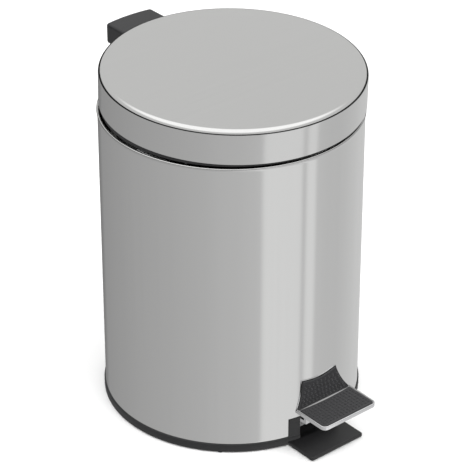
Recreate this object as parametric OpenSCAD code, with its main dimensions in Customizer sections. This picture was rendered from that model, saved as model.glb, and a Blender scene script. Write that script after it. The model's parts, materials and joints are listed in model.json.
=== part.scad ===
// Round pedal trash can: steel body, hinged steel lid, foot pedal, push rod, inner bucket.
// Millimetres, +Z up, floor at Z = 0, body axis on the Z axis, pedal towards -Y, hinge at +Y.

/* [Body] */
// Outer diameter of the steel body
body_diameter = 205; // [160:1:260]
// Height of the body's top edge above the floor
body_top = 252; // [200:1:340]
// Thickness of the steel sheet
sheet = 0.8; // [0.6:0.1:1.2]
// Radius of the rolled top edge
rim_roll = 1; // [0.8:0.1:1.4]

/* [Base] */
// How far the base ring stands out past the body
ring_out = 1.1; // [0.8:0.1:3]
// Height of the visible base ring
ring_height = 7; // [4:0.1:12]
// Height of the rubber feet below the ring
foot_drop = 0.8; // [0.5:0.1:2]
// Height of the raised floor under the bucket
floor_height = 27; // [25:0.5:40]
// Wall thickness of the base moulding
base_wall = 2.5; // [2:0.1:4]
// Half width of the front tongue
tongue_half = 26.5; // [22:0.5:34]
// Distance the front tongue stands out from the body
tongue_out = 26.5; // [15:0.5:46]
// Height of the top of the black slot panel
panel_top = 24; // [20:0.5:26]

/* [Lid] */
// Height from the skirt's lower edge to the lid's top
lid_height = 28; // [20:0.5:36]
// Gap between the body rim and the skirt, measured on the axis
lid_gap = 5.5; // [4:0.1:8]
// Forward lean of the lid in degrees
lid_tilt = 1.4; // [0:0.1:1.8]
// Forward offset of the lid's centre
lid_forward = 1.6; // [1:0.1:2.5]
// Radius of the lid's rounded top edge
lid_round = 4; // [2:0.1:6]

/* [Hinge] */
// Distance of the hinge pin behind the body surface
pin_back = 4.5; // [4:0.1:6]
// Height of the hinge pin above the body rim
pin_rise = 7; // [6.5:0.1:9]
// Radius of the hinge pin
pin_radius = 1.5; // [1.2:0.1:2]
// Half width of the hinge cover
cover_half = 22.4; // [18:0.1:26]
// Distance of the cover's back face behind the body surface
cover_back = 27; // [20:0.5:30]
// Distance from the hinge pin to the lifting bar
crank = 10.7; // [10:0.1:12]
// Angle of the lifting bar below level when the lid is shut
crank_low = 37.5; // [30:0.5:42]

/* [Pedal] */
// Half width of the pedal tray
pedal_half = 27.4; // [22:0.1:32]
// Half width of the tray's upper edge
pedal_top_half = 18; // [14:0.5:22]
// Depth of the pedal's lower plate
pedal_depth = 32.5; // [26:0.5:44]
// Distance from the body to the pedal's crease
pedal_out = 8; // [6.5:0.5:14]
// Height of the tray's rim
pedal_height = 40; // [36:0.5:46]
// Height of the upper edge of the pedal
pedal_upper = 62; // [50:0.5:68]
// Height of the pedal's pivot
pivot_height = 11; // [10:0.5:14]
// Distance of the pivot in front of the body axis
pivot_forward = 8; // [0:0.5:16]
// Width of the pedal's arm
lever_w = 28; // [16:1:32]

/* [Handles] */
// Radius of the wire of the carry handle
wire = 1.25; // [1:0.05:2]
// Length of the carry handle's legs
handle_drop = 58; // [45:1:75]
// Radius of the wire of the bucket's handle
bucket_wire = 1.2; // [1:0.05:1.6]

/* [Bucket] */
// Outer radius of the bucket's rim
bucket_rim = 90; // [70:0.5:90.5]
// Outer radius of the bucket's bottom
bucket_foot = 80; // [60:0.5:84]
// Distance of the bucket's rim below the body's rim
bucket_below = 10; // [8:0.5:30]
// Thickness of the bucket's wall
bucket_wall = 1.5; // [1.2:0.1:2.5]

/* [Hidden] */
fine = 96;
round_edges = 32;
body_r = body_diameter / 2;
inner_r = body_r - sheet;
pivot_back = -pivot_forward;
tongue_reach = body_r + tongue_out;
pedal_crease = body_r + pedal_out;
pedal_reach = pedal_crease + pedal_depth;
ring_r = body_r + ring_out;
ring_top = foot_drop + ring_height;
floor_top = floor_height + base_wall;
pin_y = body_r + pin_back;
pin_z = body_top + pin_rise;
bar_r = 2;
bar_y = pin_y - crank * cos(crank_low);
bar_z = pin_z - crank * sin(crank_low);
rest_gap = 0.4;
rod_r = 1.5;
rod_y = pin_y - crank + 0.5;
cap_top = bar_z - bar_r - rest_gap;
lever_t = 2.5;
lever_end = pivot_height - 1.5;
skirt_z = body_top + lid_gap;
skirt_r = body_r;
liner_r = skirt_r - sheet - 0.9;
liner_low = body_top + 1.4;
liner_top = skirt_z + lid_height - lid_round - 3.2;
leaf_z = pin_z + 5.5;
leaf_t = 2.5;
leaf_half = 19.6;
cover_low = pin_z + 5;
cover_top = pin_z + 22;
cover_y = body_r + cover_back;
cheek_in = cover_half + 0.8;
cheek_t = 3.2;
cheek_out = cheek_in + cheek_t;
bail_y = body_r + 16.5;
bail_z = body_top - 4;
leg_x = cheek_out + 0.4 + wire;
slot_half = lever_w / 2 + 1.5;
pad_t = 3;
tray_t = 1.2;
tray_z = pedal_height - 3.4;
pad_in = 1.5;
lean = atan2(pedal_upper - pedal_height, pedal_crease - body_r - 2.2);
upper_len = sqrt(pow(pedal_upper - pedal_height, 2) + pow(pedal_crease - body_r - 2.2, 2));
bucket_top = body_top - bucket_below;
guide_heights = [75, body_top - 44];
screw_x = 13;
screw_z = body_top - 20;
steel = [0.74, 0.75, 0.76];
chrome = [0.85, 0.86, 0.88];
black = [0.07, 0.07, 0.08];
soft_black = [0.12, 0.12, 0.13];
grey = [0.25, 0.26, 0.27];

// A cylinder along X, centred on the YZ point given.
module bar_x(y, z, r, half, count = round_edges) {
    translate([-half, y, z])
        rotate([0, 90, 0])
            cylinder(h = 2 * half, r = r, $fn = count);
}

// A cylinder along Y starting at the point given.
module bar_y_way(x, y, z, r, length) {
    translate([x, y, z])
        rotate([-90, 0, 0])
            cylinder(h = length, r = r, $fn = round_edges);
}

// A straight wire between two points in the plane X = x.
module wire_leg(x, from_y, from_z, to_y, to_z, r) {
    turn = atan2(to_y - from_y, to_z - from_z);
    length = sqrt(pow(to_y - from_y, 2) + pow(to_z - from_z, 2));
    translate([x, from_y, from_z])
        rotate([-turn, 0, 0])
            cylinder(h = length, r = r, $fn = round_edges);
}

module body_shell() {
    color(steel)
        difference() {
            union() {
                translate([0, 0, ring_top])
                    cylinder(h = body_top - rim_roll - ring_top, r = body_r, $fn = fine);
                translate([0, 0, body_top - rim_roll])
                    rotate_extrude($fn = fine)
                        translate([body_r - 0.3, 0])
                            circle(r = rim_roll, $fn = round_edges);
            }
            translate([0, 0, ring_top - 1])
                cylinder(h = body_top, r = inner_r, $fn = fine);
            translate([-tongue_half + 1, -ring_r - 5, ring_top - 1])
                cube([2 * tongue_half - 2, 20, panel_top - ring_top + 1]);
            for (x = [-screw_x, screw_x])
                bar_y_way(x, body_r - 20, screw_z, 1.7, 30);
            for (z = guide_heights)
                bar_y_way(0, body_r - 20, z, 1.3, 30);
        }
}

module base() {
    color(black)
        difference() {
            union() {
                translate([0, 0, foot_drop])
                    cylinder(h = ring_height - 0.2, r = ring_r, $fn = fine);
                translate([0, 0, foot_drop])
                    cylinder(h = floor_top - foot_drop, r = inner_r - 0.3, $fn = fine);
                translate([-tongue_half, -tongue_reach, foot_drop])
                    cube([2 * tongue_half, tongue_reach - 80, 3]);
                intersection() {
                    translate([0, 0, foot_drop])
                        cylinder(h = panel_top - foot_drop - 0.4, r = body_r + 0.6, $fn = fine);
                    translate([-tongue_half + 1.4, -ring_r - 5, foot_drop])
                        cube([2 * tongue_half - 2.8, 20, panel_top]);
                }
            }
            translate([0, 0, -1])
                cylinder(h = floor_height + 1, r = inner_r - 0.3 - base_wall, $fn = fine);
            translate([-slot_half, -ring_r - 4, foot_drop + 3])
                cube([2 * slot_half, 20, panel_top - foot_drop - 4.6]);
            translate([-6, rod_y - 12, floor_height - 1])
                cube([12, 24, base_wall + 2]);
            translate([-6, rod_y - 12, ring_top + 2])
                cube([12, 16, floor_top]);
            for (x = [-60, 60])
                for (y = [-40, 40])
                    translate([x, y, floor_height - 1])
                        cylinder(h = base_wall + 2, r = 3, $fn = round_edges);
        }
    color(black)
        for (side = [-1, 1])
            difference() {
                translate([side * 14 - 2, pivot_back - 7, foot_drop + 1.2])
                    cube([4, 14, floor_height - foot_drop]);
                translate([side * 14, 0, 0])
                    bar_x(pivot_back, pivot_height, 2.03, 4);
            }
}

module rubber_feet() {
    color(soft_black)
        for (turn = [45, 135, 225, 315])
            rotate([0, 0, turn])
                translate([inner_r - 0.3 - base_wall / 2 + 1, 0, 0])
                    cylinder(h = foot_drop, r = 2.2, $fn = round_edges);
}

module pedal_lever() {
    half = lever_w / 2;
    rise_y = -body_r - 4.6;
    slot_z = panel_top - 5.6;
    color(steel)
        difference() {
            union() {
                bar_x(pivot_back, pivot_height, 4.5, 11);
                translate([-half, 0, 0])
                    rotate([90, 0, 90])
                        linear_extrude(lever_w)
                            polygon([
                                [pivot_back, pivot_height + 2],
                                [rise_y + lever_t, slot_z + lever_t],
                                [rise_y + lever_t, tray_z - lever_t],
                                [rise_y + lever_t, tray_z],
                                [-pedal_reach + 9, tray_z],
                                [-pedal_reach + 9, tray_z - lever_t],
                                [rise_y, tray_z - lever_t],
                                [rise_y, slot_z],
                                [pivot_back, pivot_height - 2]
                            ]);
                translate([-4, 0, 0])
                    rotate([90, 0, 90])
                        linear_extrude(8)
                            polygon([
                                [pivot_back, pivot_height - 2],
                                [rod_y + 1.7, lever_end - 2.5],
                                [rod_y + 1.7, lever_end],
                                [pivot_back, pivot_height + 2]
                            ]);
            }
            bar_x(pivot_back, pivot_height, 2.06, 12);
            for (side = [-1, 1])
                translate([side * half, 10 + pivot_back, pivot_height])
                    cube([2 * (half - 10), 56, 30], center = true);
            for (y = [-pedal_reach + 14, -pedal_crease - 5])
                translate([0, y, tray_z - 10])
                    cylinder(h = 20, r = 1.6, $fn = round_edges);
        }
}

module pedal_axle() {
    color(chrome)
        bar_x(pivot_back, pivot_height, 2, 19);
}

module axle_clips() {
    color(grey)
        for (side = [-1, 1])
            translate([side * 17.2, 0, 0])
                difference() {
                    bar_x(pivot_back, pivot_height, 3.6, 0.5);
                    bar_x(pivot_back, pivot_height, 2.01, 1);
                }
}

// The outline of the lower pedal plate, seen from above.
module lower_outline(inset) {
    half = pedal_half - inset;
    corner = 4.5 - inset;
    front = pedal_reach - inset;
    translate([-half, -front + corner])
        square([2 * half, front - corner - pedal_crease + 0.2]);
    translate([-half + corner, -front])
        square([2 * half - 2 * corner, corner + 1]);
    for (side = [-1, 1])
        translate([side * (half - corner), -front + corner])
            circle(r = corner, $fn = round_edges);
}

// The outline of the upper pedal plate, in its own plane, crease along X.
module upper_outline(inset, start) {
    waist = pedal_top_half + 0.34 * (pedal_half - pedal_top_half);
    dip = 66;
    difference() {
        polygon([
            [-pedal_half + inset, start],
            [pedal_half - inset, start],
            [pedal_half - inset - 1.4, 3],
            [waist - inset, upper_len * 0.5],
            [pedal_top_half - inset, upper_len - inset],
            [-pedal_top_half + inset, upper_len - inset],
            [-waist + inset, upper_len * 0.5],
            [-pedal_half + inset + 1.4, 3]
        ]);
        translate([0, upper_len - inset + dip - 2.4])
            circle(r = dip, $fn = fine);
    }
}

// Places a child lying in the XY plane on the pedal's upper slope.
module on_slope(lift) {
    translate([0, -pedal_crease, tray_z + tray_t])
        rotate([lean, 0, 0])
            translate([0, 0, lift])
                children();
}

module pedal_tray() {
    color(chrome)
        difference() {
            union() {
                translate([0, 0, tray_z])
                    linear_extrude(tray_t)
                        union() {
                            lower_outline(0);
                            translate([-pedal_half, -pedal_crease - 1])
                                square([2 * pedal_half, 2.6]);
                        }
                translate([0, 0, tray_z + 0.3])
                    linear_extrude(pedal_height - tray_z - 0.3)
                        difference() {
                            lower_outline(0);
                            lower_outline(pad_in - 0.4);
                            translate([-pedal_half + 1.1, -pedal_crease - 4])
                                square([2 * pedal_half - 2.2, 10]);
                        }
                on_slope(-tray_t)
                    linear_extrude(tray_t)
                        upper_outline(0, -0.4);
            }
            for (y = [-pedal_reach + 14, -pedal_crease - 5])
                translate([0, y, tray_z - 10])
                    cylinder(h = 20, r = 1.6, $fn = round_edges);
        }
}

module front_pad() {
    color(soft_black)
        difference() {
            translate([0, 0, tray_z + tray_t + 0.05])
                linear_extrude(pad_t)
                    difference() {
                        lower_outline(pad_in);
                        translate([-40, -pedal_crease - 2.9])
                            square([80, 5]);
                    }
            for (y = [-pedal_reach + 14, -pedal_crease - 5])
                translate([0, y, tray_z])
                    cylinder(h = tray_t + 1.4, r = 3.3, $fn = round_edges);
        }
}

module rear_pad() {
    color(soft_black)
        on_slope(0.05)
            linear_extrude(2.2)
                upper_outline(1.2, 1);
}

module tray_rivets() {
    color(chrome)
        for (y = [-pedal_reach + 14, -pedal_crease - 5]) {
            translate([0, y, tray_z - lever_t - 1])
                cylinder(h = lever_t + tray_t + 2, r = 1.58, $fn = round_edges);
            translate([0, y, tray_z + tray_t + 0.02])
                cylinder(h = 1, r = 3, $fn = round_edges);
            translate([0, y, tray_z - lever_t - 1.02])
                cylinder(h = 1, r = 3, $fn = round_edges);
        }
}

module push_rod() {
    color(chrome) {
        translate([0, rod_y, lever_end + rest_gap + rod_r])
            cylinder(h = cap_top - 6 - lever_end - rest_gap - rod_r + 4, r = rod_r, $fn = round_edges);
        translate([0, rod_y, lever_end + rest_gap + rod_r])
            sphere(r = rod_r, $fn = round_edges);
    }
}

module rod_cap() {
    color(soft_black)
        difference() {
            translate([0, rod_y, cap_top - 6])
                cylinder(h = 6, r = 3.4, $fn = round_edges);
            translate([0, rod_y, cap_top - 7])
                cylinder(h = 5.02, r = rod_r + 0.02, $fn = round_edges);
        }
}

module rod_guides() {
    color(soft_black)
        for (z = guide_heights)
            difference() {
                intersection() {
                    translate([-5, rod_y - 3.6, z - 5])
                        cube([10, 12, 10]);
                    cylinder(h = body_top, r = inner_r - 0.02, $fn = fine);
                }
                translate([0, rod_y, z - 6])
                    cylinder(h = 12, r = rod_r + 0.08, $fn = round_edges);
                bar_y_way(0, rod_y + 2, z, 1.3, 10);
            }
}

module guide_rivets() {
    color(chrome)
        for (z = guide_heights) {
            bar_y_way(0, rod_y + 2.4, z, 1.28, body_r - rod_y - 1.8);
            bar_y_way(0, body_r + 0.02, z, 2.6, 0.9);
        }
}

module hinge_bracket() {
    color(black)
        difference() {
            union() {
                intersection() {
                    difference() {
                        translate([0, 0, body_top - 32])
                            cylinder(h = 27, r = body_r + 4, $fn = fine);
                        translate([0, 0, body_top - 33])
                            cylinder(h = 30, r = body_r + 0.03, $fn = fine);
                    }
                    translate([-cheek_out, 0, body_top - 40])
                        cube([2 * cheek_out, body_r + 20, 60]);
                }
                for (side = [-1, 1])
                    translate([side * (cheek_in + cheek_t / 2) - cheek_t / 2, 0, 0])
                        rotate([90, 0, 90])
                            linear_extrude(cheek_t)
                                union() {
                                    translate([pin_y, pin_z])
                                        circle(r = 4, $fn = round_edges);
                                    translate([bail_y, bail_z])
                                        circle(r = 3.6, $fn = round_edges);
                                    polygon([
                                        [body_r - 1, body_top - 5],
                                        [body_r + 1.7, body_top - 3],
                                        [pin_y - 3.4, pin_z - 2],
                                        [pin_y + 3.2, pin_z + 2.4],
                                        [bail_y + 3.3, bail_z + 1.4],
                                        [bail_y + 1.5, bail_z - 3.2],
                                        [body_r + 3, body_top - 24],
                                        [body_r - 1, body_top - 30]
                                    ]);
                                }
            }
            translate([0, 0, body_top - 40])
                cylinder(h = 36.9, r = body_r + 0.03, $fn = fine);
            bar_x(pin_y, pin_z, pin_radius + 0.02, 40);
            bar_x(bail_y, bail_z, wire + 0.06, 40);
            for (x = [-screw_x, screw_x])
                bar_y_way(x, body_r - 5, screw_z, 1.7, 20);
        }
}

module bracket_screws() {
    color(chrome)
        for (x = [-screw_x, screw_x]) {
            bar_y_way(x, body_r - 6.4, screw_z, 1.6, 11);
            bar_y_way(x, body_r + 4.1, screw_z, 3, 1.8);
        }
}

module bracket_nuts() {
    color(chrome)
        for (x = [-screw_x, screw_x])
            difference() {
                translate([x, body_r - 5.2, screw_z])
                    rotate([-90, 30, 0])
                        cylinder(h = 2.6, r = 3.2, $fn = 6);
                bar_y_way(x, body_r - 7, screw_z, 1.62, 10);
            }
}

module hinge_pin() {
    color(chrome)
        bar_x(pin_y, pin_z, pin_radius, cheek_out + 1.6);
}

module pin_clips() {
    color(chrome)
        for (side = [-1, 1])
            translate([side * (cheek_out + 0.7), 0, 0])
                difference() {
                    bar_x(pin_y, pin_z, 2.6, 0.5);
                    bar_x(pin_y, pin_z, pin_radius + 0.01, 1);
                }
}

module lid_shell() {
    lean_z = skirt_z;
    color(steel)
        difference() {
            translate([0, -lid_forward, lean_z])
                rotate([lid_tilt, 0, 0])
                    difference() {
                        union() {
                            cylinder(h = lid_height - lid_round, r = skirt_r, $fn = fine);
                            cylinder(h = lid_height, r = skirt_r - lid_round, $fn = fine);
                            translate([0, 0, lid_height - lid_round])
                                rotate_extrude($fn = fine)
                                    translate([skirt_r - lid_round, 0])
                                        circle(r = lid_round, $fn = round_edges);
                        }
                        translate([0, 0, -1])
                            cylinder(h = lid_height - lid_round + 1, r = skirt_r - sheet, $fn = fine);
                        translate([0, 0, -1])
                            cylinder(h = lid_height - sheet + 1, r = skirt_r - lid_round, $fn = fine);
                    }
            translate([-cover_half - 0.8, pin_y - 20, skirt_z - 20])
                cube([2 * cover_half + 1.6, 40, cover_top + 0.8 - skirt_z + 20]);
        }
}

module lid_liner() {
    color(black)
        difference() {
            union() {
                translate([0, -lid_forward, liner_low])
                    difference() {
                        cylinder(h = liner_top - liner_low, r = liner_r, $fn = fine);
                        translate([0, 0, -1])
                            cylinder(h = liner_top - liner_low + 2, r = liner_r - 2.4, $fn = fine);
                    }
                translate([-leaf_half, body_r - 6, leaf_z])
                    cube([2 * leaf_half, cover_y - 5 - body_r + 6, leaf_t]);
                for (side = [-1, 1])
                    translate([side * 15 - 2.5, 0, 0])
                        rotate([90, 0, 90])
                            linear_extrude(5)
                                union() {
                                    translate([pin_y, pin_z])
                                        circle(r = 4.4, $fn = round_edges);
                                    polygon([
                                        [pin_y - 4.2, pin_z - 1],
                                        [pin_y - 5, leaf_z + 1],
                                        [pin_y + 5, leaf_z + 1],
                                        [pin_y + 4.2, pin_z - 1]
                                    ]);
                                }
                for (side = [-1, 1])
                    translate([side * 7 - 1.5, 0, 0])
                        rotate([90, 0, 90])
                            linear_extrude(3)
                                union() {
                                    translate([bar_y, bar_z])
                                        circle(r = bar_r, $fn = round_edges);
                                    polygon([
                                        [bar_y - bar_r, bar_z],
                                        [bar_y - bar_r, leaf_z + 1],
                                        [bar_y + bar_r + 1.5, leaf_z + 1],
                                        [bar_y + bar_r, bar_z]
                                    ]);
                                }
                bar_x(bar_y, bar_z, bar_r, 8.5);
            }
            bar_x(pin_y, pin_z, pin_radius + 0.06, 40);
            for (x = [-11, 11])
                translate([x, pin_y + 9, leaf_z - 5])
                    cylinder(h = 12, r = 1.4, $fn = round_edges);
            translate([-5.5, bar_y - 6, bar_z + bar_r])
                cube([11, 9.5, leaf_z - bar_z - bar_r]);
            translate([-5.5, bar_y - 6, liner_low - 1])
                cube([11, 3, 4]);
        }
}

module hinge_cover() {
    low = leaf_z + leaf_t + 0.02;
    color(black)
        difference() {
            union() {
                translate([-cover_half, body_r - 2, cover_low])
                    cube([2 * cover_half, cover_y - body_r - 0.5, cover_top - cover_low - 2.5]);
                translate([-cover_half, body_r - 2, cover_low])
                    cube([2 * cover_half, cover_y - body_r + 2 - 2.5, cover_top - cover_low]);
                bar_x(cover_y - 2.5, cover_top - 2.5, 2.5, cover_half);
                translate([-cover_half, body_r - 2, cover_low])
                    cube([2 * cover_half, cover_y - body_r + 2, cover_top - cover_low - 2.5]);
            }
            translate([-cover_half + 2, body_r - 5, cover_low - 1])
                cube([2 * cover_half - 4, cover_y - body_r + 2, cover_top - cover_low - 1.5]);
        }
    color(black)
        for (x = [-11, 11])
            difference() {
                translate([x, pin_y + 9, low])
                    cylinder(h = cover_top - 2 - low, r = 3, $fn = round_edges);
                translate([x, pin_y + 9, low - 1])
                    cylinder(h = 7, r = 1.22, $fn = round_edges);
            }
}

module cover_screws() {
    color(chrome)
        for (x = [-11, 11]) {
            translate([x, pin_y + 9, leaf_z - 1.5])
                cylinder(h = leaf_t + 6.5, r = 1.2, $fn = round_edges);
            translate([x, pin_y + 9, leaf_z - 1.52])
                cylinder(h = 1.5, r = 2.6, $fn = round_edges);
        }
}

module lid_bumpers() {
    color(soft_black)
        for (turn = [210, 270, 330])
            translate([0, -lid_forward, 0])
                rotate([0, 0, turn])
                    translate([liner_r - 1.2, 0, liner_low - 0.9])
                        cylinder(h = 0.88, r = 1.1, $fn = round_edges);
}

module carry_handle() {
    low_y = body_r + 3.1;
    low_z = bail_z - handle_drop;
    bend = 5;
    color(chrome) {
        for (side = [-1, 1]) {
            translate([side * (leg_x + cheek_in + 0.2) / 2, 0, 0])
                bar_x(bail_y, bail_z, wire, (leg_x - cheek_in - 0.2) / 2);
            translate([side * leg_x, bail_y, bail_z])
                sphere(r = wire + 0.1, $fn = round_edges);
            wire_leg(side * leg_x, bail_y, bail_z, low_y, low_z, wire);
            translate([side * leg_x, low_y, low_z])
                sphere(r = wire + 0.1, $fn = round_edges);
        }
        bar_x(low_y, low_z, wire, leg_x);
    }
}

module inner_bucket() {
    height = bucket_top - floor_top - 0.5;
    color(grey)
        translate([0, 0, floor_top + 0.05])
            difference() {
                union() {
                    cylinder(h = height, r1 = bucket_foot, r2 = bucket_rim - 2.5, $fn = fine);
                    translate([0, 0, height - 5])
                        cylinder(h = 5, r = bucket_rim, $fn = fine);
                }
                translate([0, 0, bucket_wall])
                    cylinder(h = height, r1 = bucket_foot - bucket_wall,
                        r2 = bucket_rim - 2.5 - bucket_wall, $fn = fine);
                bar_x(0, height - 2.5, bucket_wire + 0.06, bucket_rim + 5);
            }
}

module bucket_handle() {
    mid = bucket_rim - 7;
    level = bucket_top - 0.5 + 0.05 - 2.5;
    reach = bucket_rim + 1.6;
    color(chrome) {
        for (side = [-1, 1]) {
            translate([side * (reach + mid + 3) / 2, 0, 0])
                bar_x(0, level, bucket_wire, (reach - mid - 3) / 2);
            translate([side * reach, 0, level])
                sphere(r = bucket_wire, $fn = round_edges);
            translate([side * reach, 0, level])
                cylinder(h = 5.5, r = bucket_wire, $fn = round_edges);
            translate([side * reach, 0, level + 5.5])
                sphere(r = bucket_wire, $fn = round_edges);
        }
        translate([0, 0, level + 5.5])
            rotate([0, 0, 180])
                rotate_extrude(angle = 180, $fn = fine)
                    translate([reach, 0])
                        circle(r = bucket_wire, $fn = round_edges);
    }
}

body_shell();
base();
rubber_feet();
pedal_lever();
pedal_axle();
axle_clips();
pedal_tray();
front_pad();
rear_pad();
tray_rivets();
push_rod();
rod_cap();
rod_guides();
guide_rivets();
hinge_bracket();
bracket_screws();
bracket_nuts();
hinge_pin();
pin_clips();
lid_shell();
lid_liner();
hinge_cover();
cover_screws();
lid_bumpers();
carry_handle();
inner_bucket();
bucket_handle();
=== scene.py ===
"""Looks, light and view for the round pedal trash can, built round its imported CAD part."""

import json
import math

import bpy
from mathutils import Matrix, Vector


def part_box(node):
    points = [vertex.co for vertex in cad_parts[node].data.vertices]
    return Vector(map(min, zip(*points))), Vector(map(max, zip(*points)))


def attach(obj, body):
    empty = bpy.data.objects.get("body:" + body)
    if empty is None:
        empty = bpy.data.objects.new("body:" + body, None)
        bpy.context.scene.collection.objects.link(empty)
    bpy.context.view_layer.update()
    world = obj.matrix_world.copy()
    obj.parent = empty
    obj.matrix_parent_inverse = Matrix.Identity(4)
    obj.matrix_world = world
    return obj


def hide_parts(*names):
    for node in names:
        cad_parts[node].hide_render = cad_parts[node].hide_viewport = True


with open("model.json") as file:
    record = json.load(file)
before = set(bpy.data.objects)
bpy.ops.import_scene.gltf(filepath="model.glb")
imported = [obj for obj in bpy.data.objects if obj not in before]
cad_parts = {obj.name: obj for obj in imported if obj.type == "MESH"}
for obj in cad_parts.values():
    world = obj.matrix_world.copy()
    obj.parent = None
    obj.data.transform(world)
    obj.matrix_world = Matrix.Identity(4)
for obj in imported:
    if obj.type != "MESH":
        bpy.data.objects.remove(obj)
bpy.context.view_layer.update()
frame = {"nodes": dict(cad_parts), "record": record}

bl_info = {
    "name": "Pedal Trash Can",
    "version": (1, 0, 0),
    "blender": (4, 5, 0),
    "location": "View3D > Sidebar > Trash Can",
    "description": "Models the visible pieces of a round pedal trash can and its studio",
    "category": "Object",
}

# The slots of the pieces that other pieces may mirror.
MIRRORED_SLOTS = ("body_steel", "lid_steel", "wire", "bucket_plastic")

# ---------------------------------------------------------------- helpers

def only(obj):
    """Selects one object and makes it active."""
    bpy.ops.object.select_all(action="DESELECT")
    obj.select_set(True)
    bpy.context.view_layer.objects.active = obj


def seed(name):
    """A mesh object in edit mode holding one vertex at the origin."""
    bpy.ops.object.select_all(action="DESELECT")
    bpy.ops.mesh.primitive_plane_add(size=1)
    obj = bpy.context.active_object
    obj.name = name
    obj.data.name = name
    bpy.ops.object.mode_set(mode="EDIT")
    bpy.ops.mesh.select_all(action="SELECT")
    bpy.ops.mesh.merge(type="CENTER")
    bpy.ops.mesh.select_all(action="SELECT")
    return obj


def trace(name, points):
    """Draws a chain of edges through the points and stays in edit mode."""
    obj = seed(name)
    bpy.ops.transform.translate(value=points[0])
    here = Vector(points[0])
    for point in points[1:]:
        step = Vector(point) - here
        bpy.ops.mesh.extrude_region_move(
            TRANSFORM_OT_translate={"value": tuple(step)}
        )
        here = Vector(point)
    return obj


def done(obj, angle=35.0):
    """Leaves edit mode and smooths shallow edges."""
    bpy.ops.object.mode_set(mode="OBJECT")
    only(obj)
    bpy.ops.object.shade_smooth_by_angle(angle=math.radians(angle))
    return obj


def lathe(name, profile, steps, angle=35.0, closed=False):
    """Spins a (radius, height) outline, closed or with its ends on the axis, about Z."""
    loop = list(profile) + ([profile[0]] if closed else [])
    obj = trace(name, [(r, 0.0, z) for r, z in loop])
    if closed:
        bpy.ops.mesh.select_all(action="SELECT")
        bpy.ops.mesh.remove_doubles(threshold=1e-7)
    bpy.ops.mesh.select_all(action="SELECT")
    bpy.ops.mesh.spin(
        steps=steps, angle=2 * math.pi, center=(0, 0, 0), axis=(0, 0, 1)
    )
    bpy.ops.mesh.select_all(action="SELECT")
    bpy.ops.mesh.remove_doubles(threshold=1e-6)
    bpy.ops.mesh.select_all(action="SELECT")
    bpy.ops.mesh.normals_make_consistent(inside=False)
    return done(obj, angle)


def slab(name, outline, low, high):
    """Fills a closed outline in plan and raises it from one height to another."""
    obj = trace(name, [(x, y, low) for x, y in outline])
    bpy.ops.mesh.select_all(action="SELECT")
    bpy.ops.mesh.remove_doubles(threshold=1e-7)
    bpy.ops.mesh.select_all(action="SELECT")
    bpy.ops.mesh.edge_face_add()
    bpy.ops.mesh.extrude_region_move(
        TRANSFORM_OT_translate={"value": (0, 0, high - low)}
    )
    bpy.ops.mesh.select_all(action="SELECT")
    bpy.ops.mesh.normals_make_consistent(inside=False)
    return done(obj)


def bevel(obj, width, segments=3, angle=40.0):
    """Rounds the sharp edges of an object."""
    only(obj)
    mod = obj.modifiers.new("rounding", "BEVEL")
    mod.width = width
    mod.segments = segments
    mod.limit_method = "ANGLE"
    mod.angle_limit = math.radians(angle)
    mod.harden_normals = False
    bpy.ops.object.modifier_apply(modifier=mod.name)
    bpy.ops.object.shade_smooth_by_angle(angle=math.radians(38))


def cut(obj, tool):
    """Takes one solid out of another and removes the tool."""
    only(obj)
    mod = obj.modifiers.new("cut", "BOOLEAN")
    mod.operation = "DIFFERENCE"
    mod.solver = "EXACT"
    mod.object = tool
    bpy.ops.object.modifier_apply(modifier=mod.name)
    bpy.data.objects.remove(tool)
    bpy.ops.object.shade_smooth_by_angle(angle=math.radians(35))


def join(name, objs):
    """Joins several meshes into one object."""
    bpy.ops.object.select_all(action="DESELECT")
    for obj in objs:
        obj.select_set(True)
    bpy.context.view_layer.objects.active = objs[0]
    bpy.ops.object.join()
    objs[0].name = name
    objs[0].data.name = name
    return objs[0]


def wire(name, points, radius, sides=6):
    """Turns a chain of points into a round wire with closed ends."""
    obj = trace(name, points)
    bpy.ops.object.mode_set(mode="OBJECT")
    only(obj)
    bpy.ops.object.convert(target="CURVE")
    curve = bpy.context.active_object
    curve.data.bevel_depth = radius
    curve.data.bevel_resolution = sides
    curve.data.use_fill_caps = True
    bpy.ops.object.convert(target="MESH")
    made = bpy.context.active_object
    made.name = name
    made.data.name = name
    bpy.ops.object.mode_set(mode="EDIT")
    bpy.ops.mesh.select_all(action="SELECT")
    bpy.ops.mesh.remove_doubles(threshold=1e-7)
    bpy.ops.mesh.select_all(action="SELECT")
    bpy.ops.mesh.normals_make_consistent(inside=False)
    return done(made, 50.0)


def arc(cx, cy, r, start, end, count):
    """Points along a circular arc, angles in degrees."""
    out = []
    for i in range(count + 1):
        a = math.radians(start + (end - start) * i / count)
        out.append((cx + r * math.cos(a), cy + r * math.sin(a)))
    return out


def turned(obj, angle, centre):
    """Turns a mesh about the X direction in edit mode, keeping its object still."""
    only(obj)
    bpy.ops.object.mode_set(mode="EDIT")
    bpy.ops.mesh.select_all(action="SELECT")
    bpy.ops.transform.rotate(
        value=-angle, orient_axis="X", orient_type="GLOBAL", center_override=centre
    )
    bpy.ops.object.mode_set(mode="OBJECT")


def moved(obj, step):
    """Shifts a mesh in edit mode, keeping its object still."""
    only(obj)
    bpy.ops.object.mode_set(mode="EDIT")
    bpy.ops.mesh.select_all(action="SELECT")
    bpy.ops.transform.translate(value=step)
    bpy.ops.object.mode_set(mode="OBJECT")


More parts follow.
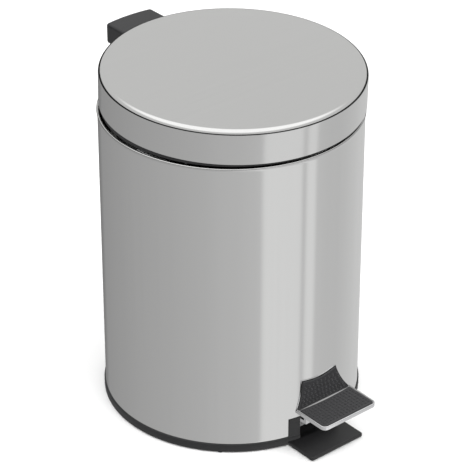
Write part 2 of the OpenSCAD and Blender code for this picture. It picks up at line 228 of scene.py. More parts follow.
def cross_bore(radius, half_length, place):
    """A round cutting tool that lies along X."""
    tool = slab("bore_tool", arc(0, 0, radius, 0, 360, 32)[:-1], -half_length, half_length)
    only(tool)
    bpy.ops.object.mode_set(mode="EDIT")
    bpy.ops.mesh.select_all(action="SELECT")
    bpy.ops.transform.rotate(value=math.pi / 2, orient_axis="Y",
                             orient_type="GLOBAL", center_override=(0, 0, 0))
    bpy.ops.transform.translate(value=place)
    bpy.ops.object.mode_set(mode="OBJECT")
    return tool


def block(name, left, right, front, back, low, high):
    """An upright box, given by its sides."""
    outline = [(left, front), (right, front), (right, back), (left, back)]
    return slab(name, outline, low, high)


def settle(obj):
    """Applies any transform, so the object sits at the origin unturned and unscaled."""
    only(obj)
    bpy.ops.object.transform_apply(location=True, rotation=True, scale=True)


def stand_for(obj, node, slot, material):
    """Lets a modelled piece stand for a CAD node, with its finish and its body."""
    settle(obj)
    if not obj.data.polygons:
        raise RuntimeError(obj.name + " has no faces")
    obj.data.materials.clear()
    obj.data.materials.append(material)
    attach(obj, body_of_node(node))
    obj.visible_glossy = slot in MIRRORED_SLOTS
    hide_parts(node)


def body_of_node(node):
    """The body a CAD node belongs to."""
    for body, names in frame["record"]["behaviour"]["bodies"].items():
        if node in names:
            return body
    raise RuntimeError("no body holds " + node)


# ---------------------------------------------------------------- materials

class Sock:
    """A node socket that can be used in plain sums."""

    def __init__(self, tree, out):
        self.tree = tree
        self.out = out

    def _math(self, op, a, b=None, vector=False):
        kind = "ShaderNodeVectorMath" if vector else "ShaderNodeMath"
        node = self.tree.nodes.new(kind)
        node.operation = op
        for i, v in enumerate((a, b)):
            if v is None:
                continue
            if isinstance(v, Sock):
                self.tree.links.new(v.out, node.inputs[i])
            else:
                node.inputs[i].default_value = v
        return Sock(self.tree, node.outputs[0])

    def __add__(self, other):
        return self._math("ADD", self, other)

    def __radd__(self, other):
        return self._math("ADD", other, self)

    def __sub__(self, other):
        return self._math("SUBTRACT", self, other)

    def __rsub__(self, other):
        return self._math("SUBTRACT", other, self)

    def __mul__(self, other):
        return self._math("MULTIPLY", self, other)

    def __rmul__(self, other):
        return self._math("MULTIPLY", other, self)

    def __truediv__(self, other):
        return self._math("DIVIDE", self, other)

    def scaled(self, factors):
        """Multiplies a vector by three numbers."""
        return self._math("MULTIPLY", self, factors, vector=True)

    def mix(self, low, high):
        """Blends two colours by this value."""
        node = self.tree.nodes.new("ShaderNodeMix")
        node.data_type = "RGBA"
        self.tree.links.new(self.out, node.inputs["Factor"])
        for name, colour in (("A", low), ("B", high)):
            slot = [s for s in node.inputs if s.name == name and s.type == "RGBA"][0]
            slot.default_value = (*colour, 1.0)
        out = [s for s in node.outputs if s.type == "RGBA"][0]
        return Sock(self.tree, out)

    def node(self, kind, out=0, into="Vector", settings=None, values=None):
        """Feeds this socket into any other node and returns one of its outputs."""
        made = self.tree.nodes.new(kind)
        for key, value in (settings or {}).items():
            setattr(made, key, value)
        if into is not None:
            self.tree.links.new(self.out, made.inputs[into])
        for key, value in (values or {}).items():
            made.inputs[key].default_value = value
        return Sock(self.tree, made.outputs[out])

    def to(self, shader, name):
        """Links this socket to an input of a shader."""
        self.tree.links.new(self.out, shader.inputs[name])


def blank(name):
    """A new material, its shader and its Object coordinates."""
    mat = bpy.data.materials.new(name)
    mat.use_nodes = True
    tree = mat.node_tree
    shader = next(n for n in tree.nodes if n.type == "BSDF_PRINCIPLED")
    coords = tree.nodes.new("ShaderNodeTexCoord")
    return mat, shader, Sock(tree, coords.outputs["Object"])


def noise(place, scale, detail=3.0, rough=0.55):
    """A grey noise over the given coordinates."""
    return place.node(
        "ShaderNodeTexNoise",
        values={"Scale": scale, "Detail": detail, "Roughness": rough},
    )


def metal(name, colour, roughness, grain, stretch, spread=0.05, bump=0.0):
    """A brushed metal whose grain runs the way the coordinates are stretched."""
    mat, shader, place = blank(name)
    shader.inputs["Metallic"].default_value = 1.0
    streaks = noise(place.scaled(stretch), grain, 4.0, 0.6)
    low = tuple(c * (1 - spread) for c in colour)
    high = tuple(min(1.0, c * (1 + spread)) for c in colour)
    streaks.mix(low, high).to(shader, "Base Color")
    (streaks * (spread * 1.6) + (roughness - spread * 0.8)).to(shader, "Roughness")
    if bump:
        streaks.node(
            "ShaderNodeBump",
            into="Height",
            values={"Strength": bump, "Distance": 0.0002},
        ).to(shader, "Normal")
    return mat


def plastic(name, colour, roughness, grain, bump, spread=0.12):
    """A moulded plastic or rubber with a fine surface texture."""
    mat, shader, place = blank(name)
    shader.inputs["Specular IOR Level"].default_value = 0.5
    cells = noise(place, grain, 5.0, 0.6)
    broad = noise(place, 30.0, 2.0, 0.5)
    low = tuple(c * (1 - spread) for c in colour)
    high = tuple(c * (1 + spread) for c in colour)
    broad.mix(low, high).to(shader, "Base Color")
    (cells * 0.12 + (roughness - 0.06)).to(shader, "Roughness")
    cells.node(
        "ShaderNodeBump", into="Height", values={"Strength": bump, "Distance": 0.0002}
    ).to(shader, "Normal")
    return mat


# ---------------------------------------------------------------- settings

class TRASHCAN_PG_sizes(bpy.types.PropertyGroup):
    """Sizes of the visible pieces, in metres."""

    body_radius: bpy.props.FloatProperty(
        name="Body radius", description="Outer radius of the steel body",
        default=0.1025, unit="LENGTH")
    body_top: bpy.props.FloatProperty(
        name="Body top", description="Height of the body's rolled edge",
        default=0.252, unit="LENGTH")
    sheet: bpy.props.FloatProperty(
        name="Sheet", description="Thickness of the steel sheet",
        default=0.0008, unit="LENGTH")
    ring_top: bpy.props.FloatProperty(
        name="Ring top", description="Height of the base ring's upper edge",
        default=0.0078, unit="LENGTH")
    ring_radius: bpy.props.FloatProperty(
        name="Ring radius", description="Outer radius of the base ring",
        default=0.1036, unit="LENGTH")
    foot_drop: bpy.props.FloatProperty(
        name="Foot drop", description="Gap between the base ring and the floor",
        default=0.0008, unit="LENGTH")
    tongue_half: bpy.props.FloatProperty(
        name="Tongue half width", description="Half the width of the front tongue",
        default=0.0265, unit="LENGTH")
    tongue_reach: bpy.props.FloatProperty(
        name="Tongue reach", description="Distance from the axis to the tongue's front",
        default=0.129, unit="LENGTH")
    panel_top: bpy.props.FloatProperty(
        name="Panel top", description="Height of the black slot panel",
        default=0.024, unit="LENGTH")
    slot_half: bpy.props.FloatProperty(
        name="Slot half width", description="Half the width of the pedal arm's slot",
        default=0.0155, unit="LENGTH")
    floor_top: bpy.props.FloatProperty(
        name="Floor top", description="Height of the raised floor inside",
        default=0.0295, unit="LENGTH")
    pivot_offset: bpy.props.FloatProperty(
        name="Pivot offset", description="Distance of the pedal axle in front of the axis",
        default=0.008, unit="LENGTH")
    rod_offset: bpy.props.FloatProperty(
        name="Rod offset", description="Distance of the push rod behind the axis",
        default=0.0968, unit="LENGTH")
    lid_bottom: bpy.props.FloatProperty(
        name="Lid bottom", description="Height of the skirt's lower edge at the axis",
        default=0.2575, unit="LENGTH")
    lid_height: bpy.props.FloatProperty(
        name="Lid height", description="Height of the lid",
        default=0.028, unit="LENGTH")
    lid_round: bpy.props.FloatProperty(
        name="Lid rounding", description="Radius of the lid's top edge",
        default=0.004, unit="LENGTH")
    lid_tilt: bpy.props.FloatProperty(
        name="Lid tilt", description="Forward lean of the lid",
        default=math.radians(1.4), subtype="ANGLE")
    lid_forward: bpy.props.FloatProperty(
        name="Lid offset", description="Forward offset of the lid's centre",
        default=0.0016, unit="LENGTH")
    cover_half: bpy.props.FloatProperty(
        name="Cover half width", description="Half the width of the hinge cover",
        default=0.0224, unit="LENGTH")
    cover_back: bpy.props.FloatProperty(
        name="Cover back", description="Distance from the axis to the cover's back",
        default=0.1295, unit="LENGTH")
    cover_low: bpy.props.FloatProperty(
        name="Cover low", description="Height of the cover's lower edge",
        default=0.264, unit="LENGTH")
    cover_top: bpy.props.FloatProperty(
        name="Cover top", description="Height of the cover's top",
        default=0.281, unit="LENGTH")
    pedal_half: bpy.props.FloatProperty(
        name="Pedal half width", description="Half the width of the pedal tray",
        default=0.0274, unit="LENGTH")
    pedal_top_half: bpy.props.FloatProperty(
        name="Pedal top half width", description="Half the width of the tray's upper edge",
        default=0.018, unit="LENGTH")
    pedal_reach: bpy.props.FloatProperty(
        name="Pedal reach", description="Distance from the axis to the pedal's front",
        default=0.143, unit="LENGTH")
    pedal_crease: bpy.props.FloatProperty(
        name="Pedal crease", description="Distance from the axis to the pedal's crease",
        default=0.1105, unit="LENGTH")
    pedal_height: bpy.props.FloatProperty(
        name="Pedal height", description="Height of the tray's rim",
        default=0.040, unit="LENGTH")
    pedal_upper: bpy.props.FloatProperty(
        name="Pedal upper", description="Height of the pedal's upper edge",
        default=0.062, unit="LENGTH")
    wire_radius: bpy.props.FloatProperty(
        name="Wire radius", description="Radius of the carry handle's wire",
        default=0.00125, unit="LENGTH")
    bucket_foot: bpy.props.FloatProperty(
        name="Bucket foot", description="Radius of the bucket's foot",
        default=0.080, unit="LENGTH")
    bucket_rim: bpy.props.FloatProperty(
        name="Bucket rim", description="Radius of the bucket's rim",
        default=0.090, unit="LENGTH")
    bucket_wire: bpy.props.FloatProperty(
        name="Bucket wire radius", description="Radius of the bucket handle's wire",
        default=0.0012, unit="LENGTH")


class TRASHCAN_PG_looks(bpy.types.PropertyGroup):
    """Colours and finishes."""

    steel: bpy.props.FloatVectorProperty(
        name="Steel", description="Colour of the body",
        default=(0.645, 0.645, 0.64), size=3, subtype="COLOR", min=0, max=1)
    lid_steel: bpy.props.FloatVectorProperty(
        name="Lid steel", description="Colour of the lid",
        default=(0.62, 0.62, 0.615), size=3, subtype="COLOR", min=0, max=1)
    chrome: bpy.props.FloatVectorProperty(
        name="Chrome", description="Colour of the plated pieces",
        default=(0.74, 0.74, 0.75), size=3, subtype="COLOR", min=0, max=1)
    black: bpy.props.FloatVectorProperty(
        name="Black", description="Colour of the moulded pieces",
        default=(0.013, 0.013, 0.014), size=3, subtype="COLOR", min=0, max=1)
    rubber: bpy.props.FloatVectorProperty(
        name="Rubber", description="Colour of the pads",
        default=(0.022, 0.022, 0.024), size=3, subtype="COLOR", min=0, max=1)
    bucket: bpy.props.FloatVectorProperty(
        name="Bucket", description="Colour of the inner bucket",
        default=(0.06, 0.06, 0.063), size=3, subtype="COLOR", min=0, max=1)
    azimuth: bpy.props.FloatProperty(
        name="View azimuth", description="Direction of the camera round the can",
        default=math.radians(-40), subtype="ANGLE")
    distance: bpy.props.FloatProperty(
        name="Camera distance", description="Level distance from the axis to the camera",
        default=1.578, unit="LENGTH")
    height: bpy.props.FloatProperty(
        name="Camera height", description="Height of the camera above the floor",
        default=1.062, unit="LENGTH")
    pitch: bpy.props.FloatProperty(
        name="Camera pitch", description="Downward tilt of the camera",
        default=0.529, subtype="ANGLE")
    lens: bpy.props.FloatProperty(
        name="Lens", description="Focal length for a 36 millimetre sensor",
        default=180.4)


def sizes():
    """The sizes that the panel shows."""
    return bpy.context.scene.trashcan_sizes


def looks():
    """The colours, finishes and view that the panel shows."""
    return bpy.context.scene.trashcan_looks


FINISHES = {}


def mats():
    """The finishes, made once."""
    if not FINISHES:
        k = looks()
        FINISHES.update({
            "body_steel": metal("satin_steel", k.steel, 0.11, 260.0, (1, 1, 0.01), 0.02),
            "lid_steel": metal("lid_satin", k.lid_steel, 0.13, 120.0, (0.02, 3, 3), 0.02),
            "chrome": metal("plating", k.chrome, 0.10, 200.0, (1, 1, 1), 0.02),
            "wire": metal("drawn_wire", (0.66, 0.66, 0.67), 0.24, 120.0, (2, 2, 0.1), 0.04),
            "black_plastic": plastic("moulding", k.black, 0.46, 900.0, 0.12),
            "pad_rubber": plastic("rubber", k.rubber, 0.42, 1400.0, 0.2),
            "bucket_plastic": plastic("bucket_moulding", k.bucket, 0.5, 700.0, 0.1),
        })
    return FINISHES


# ---------------------------------------------------------------- operators

class TRASHCAN_OT_body(bpy.types.Operator):
    """Models the steel body with its rolled top edge and the opening for the slot panel"""

    bl_idname = "trashcan.body"
    bl_label = "Body Shell"

    def execute(self, context):
        s = sizes()
        r = s.body_radius
        t = s.sheet
        bead = arc(r - 0.0003, s.body_top - 0.001, 0.001, -50, 180, 14)
        profile = [(r - t, s.ring_top), (r - 0.0001, s.ring_top), (r, s.ring_top + 0.0002)]
        profile += [(r, s.ring_top + 0.0012), (r, s.body_top - 0.0036)]
        profile += [(r, s.body_top - 0.0024)] + bead
        obj = lathe("body_sheet", profile, 192, 40, closed=True)
        half = s.tongue_half - 0.001
        tool = slab(
            "slot_tool",
            [(-half, -r - 0.01), (half, -r - 0.01), (half, -r + 0.01), (-half, -r + 0.01)],
            s.ring_top - 0.001, s.panel_top)
        cut(obj, tool)
        stand_for(obj, "body_shell", "body_steel", mats()["body_steel"])
        return {"FINISHED"}


class TRASHCAN_OT_base(bpy.types.Operator):
    """Models the black base: ring, raised floor, slot panel, tongue and bearings"""

    bl_idname = "trashcan.base"
    bl_label = "Base"

    def execute(self, context):
        s = sizes()
        low = s.foot_drop
        ring = s.ring_radius
        wall = s.body_radius - s.sheet - 0.0003
        inner = wall - 0.0025
        top = s.ring_top - 0.0002
        deck = s.floor_top
        under = deck - 0.0025
        soft = 0.0009
        profile = [(0.0, under), (inner, under), (inner, low)]
        profile += arc(ring - soft, low + soft, soft, -90, 0, 4)
        profile += arc(ring - soft, top - soft, soft, 0, 90, 4)
        profile += [(wall, top), (wall, deck - soft), (wall - soft, deck), (0.0, deck)]
        cup = lathe("base_cup", profile, 192)

        front = s.body_radius + 0.0006
        half = s.tongue_half - 0.0014
        edge = math.degrees(math.acos(half / front))
        outline = arc(0, 0, front, -180 + edge, -edge, 24)
        outline += arc(0, 0, wall - 0.001, -edge, -180 + edge, 24)
        panel = slab("slot_panel", outline, low, s.panel_top - 0.0004)
        bevel(panel, 0.0003, 2, 50)

        reach = s.tongue_reach
        back = -s.body_radius + 0.012
        corner = 0.0012
        half = s.tongue_half
        outline = arc(half - corner, -reach + corner, corner, 0, -90, 5)
        outline += arc(-half + corner, -reach + corner, corner, -90, -180, 5)
        outline += [(-half, back), (half, back)]
        tongue = slab("tongue", outline, low, low + 0.003)
        bevel(tongue, 0.0006, 3, 50)

        for piece in (cup, panel):
            cut(piece, block("arm_tool", -s.slot_half, s.slot_half, -ring - 0.004, -ring + 0.016,
                             low + 0.003, s.panel_top - 0.0016))
        rod = s.rod_offset
        way = 0.006
        cut(cup, block("rod_tool", -way, way, rod - 0.012, rod + 0.012,
                       under - 0.001, deck + 0.001))
        cut(cup, block("rod_wall_tool", -way, way, rod - 0.012, rod + 0.004,
                       s.ring_top + 0.002, under + 0.001))
        for x in (-0.06, 0.06):
            for y in (-0.04, 0.04):
                cut(cup, slab("drain_tool", arc(x, y, 0.003, 0, 360, 24)[:-1],
                              under - 0.001, deck + 0.001))
        lugs = []
        pivot = s.pivot_offset
        pivot_height = 0.011
        axle_bore = 0.00203
        lug_offset = 0.014
        lug_thick = 0.002
        lug_deep = 0.007
        for side in (-1, 1):
            middle = side * lug_offset
            lug = block("lug", middle - lug_thick, middle + lug_thick,
                        -pivot - lug_deep, -pivot + lug_deep, low + 0.0012, under + 0.001)
            bevel(lug, 0.0004, 2)
            cut(lug, cross_bore(axle_bore, 0.004, (middle, -pivot, pivot_height)))
            lugs.append(lug)
        obj = join("base_moulding", [cup, panel, tongue] + lugs)
        stand_for(obj, "base", "black_plastic", mats()["black_plastic"])
        return {"FINISHED"}


class TRASHCAN_OT_lid(bpy.types.Operator):
    """Models the steel lid with its rounded top edge, rolled hem and hinge notch"""

    bl_idname = "trashcan.lid"
    bl_label = "Lid Shell"

    def execute(self, context):
        s = sizes()
        r = s.body_radius
        t = s.sheet
        h = s.lid_height
        c = s.lid_round
        hem = 0.0003
        profile = [(0.0, h - t), (r - c, h - t)]
        profile += arc(r - c, h - c, c - t, 90, 0, 10)[1:]
        profile += [(r - t, hem), (r - t + hem, 0.0), (r - hem, 0.0), (r, hem)]
        profile += [(r, 0.0012), (r, h - c - 0.001)]
        profile += arc(r - c, h - c, c, 0, 90, 16)
        profile += [(0.0, h)]
        obj = lathe("lid_pressing", profile, 192)
        moved(obj, (0, -s.lid_forward, s.lid_bottom))
        turned(obj, s.lid_tilt, (0, -s.lid_forward, s.lid_bottom))
        half = s.cover_half + 0.0008
        tool = slab(
            "notch_tool",
            [(-half, r - 0.0155), (half, r - 0.0155), (half, r + 0.02), (-half, r + 0.02)],
            s.lid_bottom - 0.01, s.cover_top + 0.0008)
        cut(obj, tool)
        stand_for(obj, "lid_shell", "lid_steel", mats()["lid_steel"])
        return {"FINISHED"}


class TRASHCAN_OT_cover(bpy.types.Operator):
    """Models the moulded hinge cover as an open shell with rounded edges"""

    bl_idname = "trashcan.hinge_cover"
    bl_label = "Hinge Cover"

    def execute(self, context):
        s = sizes()
        half = s.cover_half
        front = s.body_radius - 0.002
        sag = 0.002
        radius = (half * half + sag * sag) / (2 * sag)
        sweep = math.degrees(math.asin(half / radius))
        back = arc(0, s.cover_back - radius, radius, 90 - sweep, 90 + sweep, 16)
        box = slab("cover_block", [(-half, front), (half, front)] + back,
                   s.cover_low, s.cover_top)
        only(box)
        bevel(box, 0.0022, 5)
        wall = 0.002
        tool = slab("cover_tool", [
            (-half + wall, front - 0.005), (half - wall, front - 0.005),
            (half - wall, s.cover_back - wall - sag), (-half + wall, s.cover_back - wall - sag)],
            s.cover_low - 0.005, s.cover_top - wall)
        cut(box, tool)
        posts = []
        for x in (-0.011, 0.011):
            ring = arc(x, s.body_radius + 0.0135, 0.003, 0, 360, 24)[:-1]
            posts.append(slab("post", ring, s.cover_low + 0.0032, s.cover_top - 0.0015))
        obj = join("cover_moulding", [box] + posts)
        stand_for(obj, "hinge_cover", "black_plastic", mats()["black_plastic"])
        return {"FINISHED"}


def slope_turn():
    """The lean of the pedal's upper slope and its length."""
    s = sizes()
    rise = s.pedal_upper - s.pedal_height
    run = s.pedal_crease - s.body_radius - 0.0022
    return math.atan2(rise, run), math.hypot(rise, run)


def lower_loop(inset):
    """The lower pedal outline in plan, from the rear right corner round the front."""
    s = sizes()
    half = s.pedal_half - inset
    corner = 0.0045 - inset
    front = -s.pedal_reach + inset
    rear = -s.pedal_crease
    loop = [(half, rear)]
    loop += arc(half - corner, front + corner, corner, 0, -90, 6)
    loop += arc(-half + corner, front + corner, corner, -90, -180, 6)
    loop += [(-half, rear)]
    return loop


def upper_loop(inset, start):
    """The upper pedal outline in its own plane, with waisted sides and a hollow top."""
    s = sizes()
    _, length = slope_turn()
    base = s.pedal_half - inset
    top = s.pedal_top_half - inset
    high = length - inset
    right = [(base, start), (base, start + 0.0012)]
    for i in range(1, 7):
        t = i / 6
        sag = 0.0016 * math.sin(math.pi * t)
        rise = start + 0.0012 + (high - start - 0.0012) * t
        right.append((base + (top - base) * t - sag, rise))
    crown = []
    for i in range(1, 8):
        t = i / 8
        crown.append((top - 2 * top * t, high - 0.0024 * math.sin(math.pi * t)))
    left = [(-x, y) for x, y in reversed(right)]
    return right + crown + left


def onto_slope(obj, lift):
    """Lays a mesh made in plan on the pedal's upper slope."""
    s = sizes()
    lean, _ = slope_turn()
    floor = s.pedal_height - 0.0034 + 0.0012
    moved(obj, (0, -s.pedal_crease, floor + lift))
    turned(obj, lean, (0, -s.pedal_crease, floor))


def dome(name, flatness, place):
    """One low dome of a pad's grid, at its place."""
    bpy.ops.object.select_all(action="DESELECT")
    bpy.ops.mesh.primitive_uv_sphere_add(segments=10, ring_count=6, radius=0.0011)
    obj = bpy.context.active_object
    obj.name = name
    bpy.ops.object.mode_set(mode="EDIT")
    bpy.ops.mesh.select_all(action="SELECT")
    bpy.ops.mesh.bisect(plane_co=(0, 0, -0.0001), plane_no=(0, 0, 1),
                        clear_inner=True, use_fill=True)
    bpy.ops.mesh.select_all(action="SELECT")
    bpy.ops.transform.resize(value=(1, 1, flatness), center_override=(0, 0, 0))
    bpy.ops.transform.translate(value=place)
    bpy.ops.object.mode_set(mode="OBJECT")
    return obj


def repeat(obj, count, step):
    """Copies a mesh along a step."""
    mod = obj.modifiers.new("row", "ARRAY")
    mod.count = count
    mod.use_relative_offset = False
    mod.use_constant_offset = True
    mod.constant_offset_displace = step
    bpy.ops.object.modifier_apply(modifier=mod.name)


def dots(name, width, depth, place, counts):
    """A grid of low domes, made from one dome and two rows of copies."""
    obj = dome(name, 0.75, place)
    repeat(obj, counts[0], (width / (counts[0] - 1), 0, 0))
    repeat(obj, counts[1], (0, depth / (counts[1] - 1), 0))
    only(obj)
    bpy.ops.object.shade_smooth()
    return obj


def row_of_dots(half, y, count):
    """One row of low domes across the upper pad."""
    obj = dome("row_of_dots", 0.7, (-half, y, 0.0016))
    repeat(obj, count, (2 * half / (count - 1), 0, 0))
    only(obj)
    bpy.ops.object.shade_smooth()
    return obj


class TRASHCAN_OT_tray(bpy.types.Operator):
    """Models the plated pedal tray: floor, rim round the front and sloped back plate"""

    bl_idname = "trashcan.pedal_tray"
    bl_label = "Pedal Tray"

    def execute(self, context):
        s = sizes()
        low = s.pedal_height - 0.0034
        outer = lower_loop(0.0)
        inner = lower_loop(0.0011)
        rear = -s.pedal_crease + 0.0015
        floor = slab("tray_floor", [(s.pedal_half, rear)] + outer[1:-1] + [(-s.pedal_half, rear)],
                     low, low + 0.0012)
        bevel(floor, 0.0004, 2)
        rim = slab("tray_rim", outer + list(reversed(inner)), low + 0.0001, s.pedal_height)
        bevel(rim, 0.0004, 3)
        back = slab("tray_back", upper_loop(0.0, -0.0004), -0.0012, 0.0)
        bevel(back, 0.0004, 2)
        onto_slope(back, 0.0)
        obj = join("tray_pressing", [floor, rim, back])
        stand_for(obj, "pedal_tray", "chrome", mats()["chrome"])
        return {"FINISHED"}


class TRASHCAN_OT_pads(bpy.types.Operator):
    """Models both rubber pads with rounded edges and their grids of dots"""

    bl_idname = "trashcan.pedal_pads"
    bl_label = "Pedal Pads"

    def execute(self, context):
        s = sizes()
        low = s.pedal_height - 0.0034 + 0.00125
        rear = -s.pedal_crease - 0.0021
        loop = lower_loop(0.0015)[1:-1]
        half = s.pedal_half - 0.0015
        sag = 0.0016
        radius = (half * half + sag * sag) / (2 * sag)
        sweep = math.degrees(math.asin(half / radius))
        loop += arc(0, rear - sag + radius, radius, -90 - sweep, -90 + sweep, 14)
        pad = slab("front_rubber", loop, low, low + 0.0024)
        bevel(pad, 0.0008, 3)
        across = 2 * (s.pedal_half - 0.0045)
        deep = s.pedal_reach - s.pedal_crease - 0.0021 - 0.0096
        grid = dots("front_dots", across, deep,
                    (-across / 2, -s.pedal_reach + 0.0048, low + 0.0024), (15, 8))
        front = join("front_rubber", [pad, grid])
        stand_for(front, "front_pad", "pad_rubber", mats()["pad_rubber"])

        pad = slab("rear_rubber", upper_loop(0.0012, 0.001), 0.0, 0.0016)
        bevel(pad, 0.0006, 3)
        _, length = slope_turn()
        rows = []
        for i in range(5):
            y = 0.0035 + i * 0.0032
            t = y / length
            half = (s.pedal_half + (s.pedal_top_half - s.pedal_half) * t) - 0.0045
            count = 13 - 2 * (i // 2)
            rows.append(row_of_dots(half, y, count))
        rear_piece = join("rear_rubber", [pad] + rows)
        onto_slope(rear_piece, 0.00005)
        stand_for(rear_piece, "rear_pad", "pad_rubber", mats()["pad_rubber"])
        return {"FINISHED"}


class TRASHCAN_OT_carry(bpy.types.Operator):
    """Models the rear carry handle from one bent wire"""

    bl_idname = "trashcan.carry_handle"
    bl_label = "Carry Handle"

    def execute(self, context):
        s = sizes()
        pivot = Vector((0, s.body_radius + 0.0165, s.body_top - 0.004))
        foot = Vector((0, s.body_radius + 0.0031, s.body_top - 0.062))
        cheek_in = s.cover_half + 0.0008
        cheek_out = cheek_in + 0.0032
        leg = cheek_out + 0.0004 + s.wire_radius
        inner = cheek_in + 0.0002
        down = (foot - pivot).normalized()
        bend = 0.003
        side = [Vector((inner, pivot.y, pivot.z))]
        for i in range(7):
            a = math.radians(90 * i / 6)
            r = 0.0014
            across = Vector((leg - r + r * math.sin(a), 0, 0))
            side.append(across + pivot + down * (r - r * math.cos(a)))
        corner = foot - down * bend
        for i in range(9):
            a = math.radians(90 * i / 8)
            across = Vector((leg - bend + bend * math.cos(a), 0, 0))
            side.append(across + corner + down * (bend * math.sin(a)))
        mirror = [Vector((-p.x, p.y, p.z)) for p in reversed(side)]
        obj = wire("carry_wire", [tuple(p) for p in side + mirror], s.wire_radius, 5)
        stand_for(obj, "carry_handle", "wire", mats()["wire"])
        return {"FINISHED"}


class TRASHCAN_OT_bucket(bpy.types.Operator):
    """Models the inner bucket with its tapered wall, rim band and handle holes"""

    bl_idname = "trashcan.inner_bucket"
    bl_label = "Inner Bucket"

    def execute(self, context):
        s = sizes()
        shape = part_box("inner_bucket")
        low, high = shape[0][2], shape[1][2]
        foot = s.bucket_foot
        rim = s.bucket_rim
        neck = rim - 0.0025
        wall = 0.0015
        soft = 0.0004
        profile = [(0.0, low), (foot - 0.001, low), (foot, low + 0.001)]
        profile += [(neck, high - 0.005), (rim - soft, high - 0.005)]
        profile += [(rim, high - 0.005 + soft), (rim, high - soft), (rim - soft, high)]
        profile += [(neck - wall + soft, high), (neck - wall, high - soft)]
        profile += [(foot - wall, low + wall + 0.001), (foot - wall - 0.001, low + wall)]
        profile += [(0.0, low + wall)]
        obj = lathe("bucket_moulding", profile, 160)
        band = 0.005
        play = 0.00006
        cut(obj, cross_bore(s.bucket_wire + play, rim + 0.005, (0, 0, high - band / 2)))
        stand_for(obj, "inner_bucket", "bucket_plastic", mats()["bucket_plastic"])
        return {"FINISHED"}


class TRASHCAN_OT_bucket_handle(bpy.types.Operator):
    """Models the bucket's wire handle, bent from one length and laid at the rim"""

    bl_idname = "trashcan.bucket_handle"
    bl_label = "Bucket Handle"

    def execute(self, context):
        s = sizes()
        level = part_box("inner_bucket")[1][2] - 0.0025
        reach = s.bucket_rim + 0.0016
        tip = s.bucket_rim - 0.004
        lift = 0.0055
        bend = 0.0016
        side = [(tip, 0.0, level)]
        side += [(x, 0.0, z) for x, z in arc(reach - bend, level + bend, bend, -90, 0, 6)]
        side += [(reach, 0.0, level + lift - 0.001)]
        loop = [(x, y, level + lift) for x, y in arc(0, 0, reach, -1, -179, 96)]
        mirror = [(-x, y, z) for x, y, z in reversed(side)]
        obj = wire("bucket_wire", side + loop + mirror, s.bucket_wire, 5)
        stand_for(obj, "bucket_handle", "wire", mats()["wire"])
        return {"FINISHED"}


class TRASHCAN_OT_finishes(bpy.types.Operator):
    """Gives the remaining CAD pieces the finish their record names"""

    bl_idname = "trashcan.finishes"
    bl_label = "Finishes"

    def execute(self, context):
        made = mats()
        for entry in frame["record"]["subparts"]:
            obj = frame["nodes"].get(entry["node"])
            if obj is None:
                raise RuntimeError("the frame has no node " + entry["node"])
            obj.data.materials.clear()
            obj.data.materials.append(made[entry["material_slot"]])
            obj.visible_glossy = False
        return {"FINISHED"}


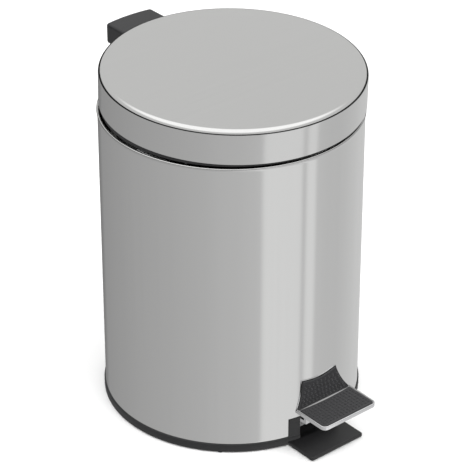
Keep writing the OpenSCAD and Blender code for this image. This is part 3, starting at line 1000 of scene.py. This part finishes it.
class TRASHCAN_OT_stage(bpy.types.Operator):
    """Sets the floor, the light and the camera"""

    bl_idname = "trashcan.stage"
    bl_label = "Stage"

    def execute(self, context):
        k = looks()
        scene = context.scene
        scene.view_settings.view_transform = "Standard"
        a = k.azimuth
        right = Vector((math.cos(a), math.sin(a), 0))
        back = Vector((math.sin(a), -math.cos(a), 0))

        bpy.ops.object.select_all(action="DESELECT")
        bpy.ops.mesh.primitive_plane_add(size=14)
        floor = bpy.context.active_object
        floor.name = "studio_floor"
        mat, shader, place = blank("studio_floor")
        noise(place, 3.0).mix((0.95, 0.95, 0.95), (0.97, 0.97, 0.97)).to(shader, "Base Color")
        shader.inputs["Roughness"].default_value = 0.9
        floor.data.materials.append(mat)
        floor.visible_glossy = False

        world = bpy.data.worlds.new("studio")
        scene.world = world
        world.use_nodes = True
        tree = world.node_tree
        coords = tree.nodes.new("ShaderNodeTexCoord")
        place = Sock(tree, coords.outputs["Generated"])
        across = place.node("ShaderNodeVectorMath", out="Value", into=0,
                            settings={"operation": "DOT_PRODUCT"}, values={1: right})
        toward = place.node("ShaderNodeVectorMath", out="Value", into=0,
                            settings={"operation": "DOT_PRODUCT"}, values={1: back})
        turn = across._math("ARCTAN2", across, toward) * (0.5 / math.pi) + 0.5
        ramp = tree.nodes.new("ShaderNodeValToRGB")
        tree.links.new(turn.out, ramp.inputs["Fac"])
        stops = [(-180, 0.22), (-158, 0.25), (-150, 0.37), (-122, 0.45), (-90, 0.515),
                 (-58, 0.56), (-26, 0.61), (-10, 0.65), (6, 0.67), (25, 0.72),
                 (28, 0.96), (62, 0.96), (64, 0.72), (66.5, 0.72), (68.5, 0.97), (76, 0.97),
                 (79, 0.74), (92, 0.71), (106, 0.70), (122, 0.73), (142, 0.75),
                 (180, 0.60)]
        dots_in = ramp.color_ramp.elements
        while len(dots_in) < len(stops):
            dots_in.new(0.5)
        for element, (deg, level) in zip(dots_in, stops):
            element.position = deg / 360 + 0.5
            element.color = (level, level, level, 1)
        high = place.node("ShaderNodeSeparateXYZ", out=2)
        lift = high.node("ShaderNodeMapRange", into="Value",
                         values={"From Min": 0.16, "From Max": 0.25, "To Min": 0.0, "To Max": 1.0})
        band = tree.nodes.new("ShaderNodeValToRGB")
        tree.links.new((high * 0.5 + 0.5).out, band.inputs["Fac"])
        marks = [(-1.0, 1.0), (-0.30, 1.0), (-0.22, 0.03), (0.14, 0.03), (0.20, 1.0), (1.0, 1.0)]
        cells = band.color_ramp.elements
        while len(cells) < len(marks):
            cells.new(0.5)
        for element, (height, level) in zip(cells, marks):
            element.position = height / 2 + 0.5
            element.color = (level, level, level, 1)
        dim = Sock(tree, ramp.outputs["Color"])._math(
            "MULTIPLY", Sock(tree, ramp.outputs["Color"]),
            Sock(tree, band.outputs["Color"]), vector=True)
        mix = tree.nodes.new("ShaderNodeMix")
        mix.data_type = "RGBA"
        tree.links.new(lift.out, mix.inputs["Factor"])
        colours = [i for i in mix.inputs if i.type == "RGBA"]
        tree.links.new(dim.out, colours[0])
        colours[1].default_value = (0.79, 0.79, 0.785, 1)
        ground = tree.nodes["Background"]
        out = [o for o in mix.outputs if o.type == "RGBA"][0]
        top = high.node("ShaderNodeMapRange", into="Value",
                        values={"From Min": 0.64, "From Max": 0.80, "To Min": 0.0, "To Max": 1.0})
        crown = tree.nodes.new("ShaderNodeMix")
        crown.data_type = "RGBA"
        tree.links.new(top.out, crown.inputs["Factor"])
        colours = [i for i in crown.inputs if i.type == "RGBA"]
        tree.links.new(out, colours[0])
        colours[1].default_value = (1.5, 1.5, 1.5, 1)
        out = [o for o in crown.outputs if o.type == "RGBA"][0]
        tree.links.new(out, ground.inputs["Color"])
        ground.inputs["Strength"].default_value = 1.0

        def panel(name, where, size, power, aim=(0, 0, 0.14)):
            data = bpy.data.lights.new(name, "AREA")
            data.shape = "RECTANGLE"
            data.size, data.size_y = size
            data.energy = power
            lamp = bpy.data.objects.new(name, data)
            scene.collection.objects.link(lamp)
            lamp.location = where
            lamp.rotation_euler = (Vector(aim) - Vector(where)).to_track_quat("-Z", "Y").to_euler()
            lamp.visible_glossy = False

        up = Vector((0, 0, 1))
        panel("key", tuple(right * 0.9 + back * 0.6 + up * 1.7), (1.4, 1.4), 17)
        panel("fill", tuple(right * -1.2 + back * 0.8 + up * 1.4), (1.6, 1.6), 12)

        cam_data = bpy.data.cameras.new("camera")
        cam = bpy.data.objects.new("camera", cam_data)
        scene.collection.objects.link(cam)
        cam_data.lens = k.lens
        cam_data.sensor_width = 36
        cam_data.clip_end = 50
        spot = back * k.distance + up * k.height
        cam.location = spot
        look = -back * math.cos(k.pitch) - up * math.sin(k.pitch)
        cam.rotation_euler = look.to_track_quat("-Z", "Y").to_euler()
        scene.camera = cam
        return {"FINISHED"}


class TRASHCAN_PT_panel(bpy.types.Panel):
    """Lists the pieces in the sidebar"""

    bl_idname = "TRASHCAN_PT_panel"
    bl_label = "Trash Can"
    bl_space_type = "VIEW_3D"
    bl_region_type = "UI"
    bl_category = "Trash Can"

    def draw(self, context):
        for cls in OPERATORS:
            self.layout.operator(cls.bl_idname)


OPERATORS = (
    TRASHCAN_OT_finishes,
    TRASHCAN_OT_body,
    TRASHCAN_OT_base,
    TRASHCAN_OT_lid,
    TRASHCAN_OT_cover,
    TRASHCAN_OT_tray,
    TRASHCAN_OT_pads,
    TRASHCAN_OT_carry,
    TRASHCAN_OT_bucket,
    TRASHCAN_OT_bucket_handle,
    TRASHCAN_OT_stage,
)
CLASSES = (TRASHCAN_PG_sizes, TRASHCAN_PG_looks) + OPERATORS + (TRASHCAN_PT_panel,)


def register():
    """Registers every class and hangs the settings on the scene."""
    for cls in CLASSES:
        bpy.utils.register_class(cls)
    bpy.types.Scene.trashcan_sizes = bpy.props.PointerProperty(type=TRASHCAN_PG_sizes)
    bpy.types.Scene.trashcan_looks = bpy.props.PointerProperty(type=TRASHCAN_PG_looks)


def unregister():
    """Takes the settings and the classes away again."""
    del bpy.types.Scene.trashcan_looks
    del bpy.types.Scene.trashcan_sizes
    for cls in reversed(CLASSES):
        bpy.utils.unregister_class(cls)


def main():
    """Builds every piece round the CAD part."""
    register()
    for cls in OPERATORS:
        group, name = cls.bl_idname.split(".")
        result = getattr(getattr(bpy.ops, group), name)()
        if result != {"FINISHED"}:
            raise RuntimeError(cls.bl_idname + " did not finish")


if __name__ == "__main__":
    main()
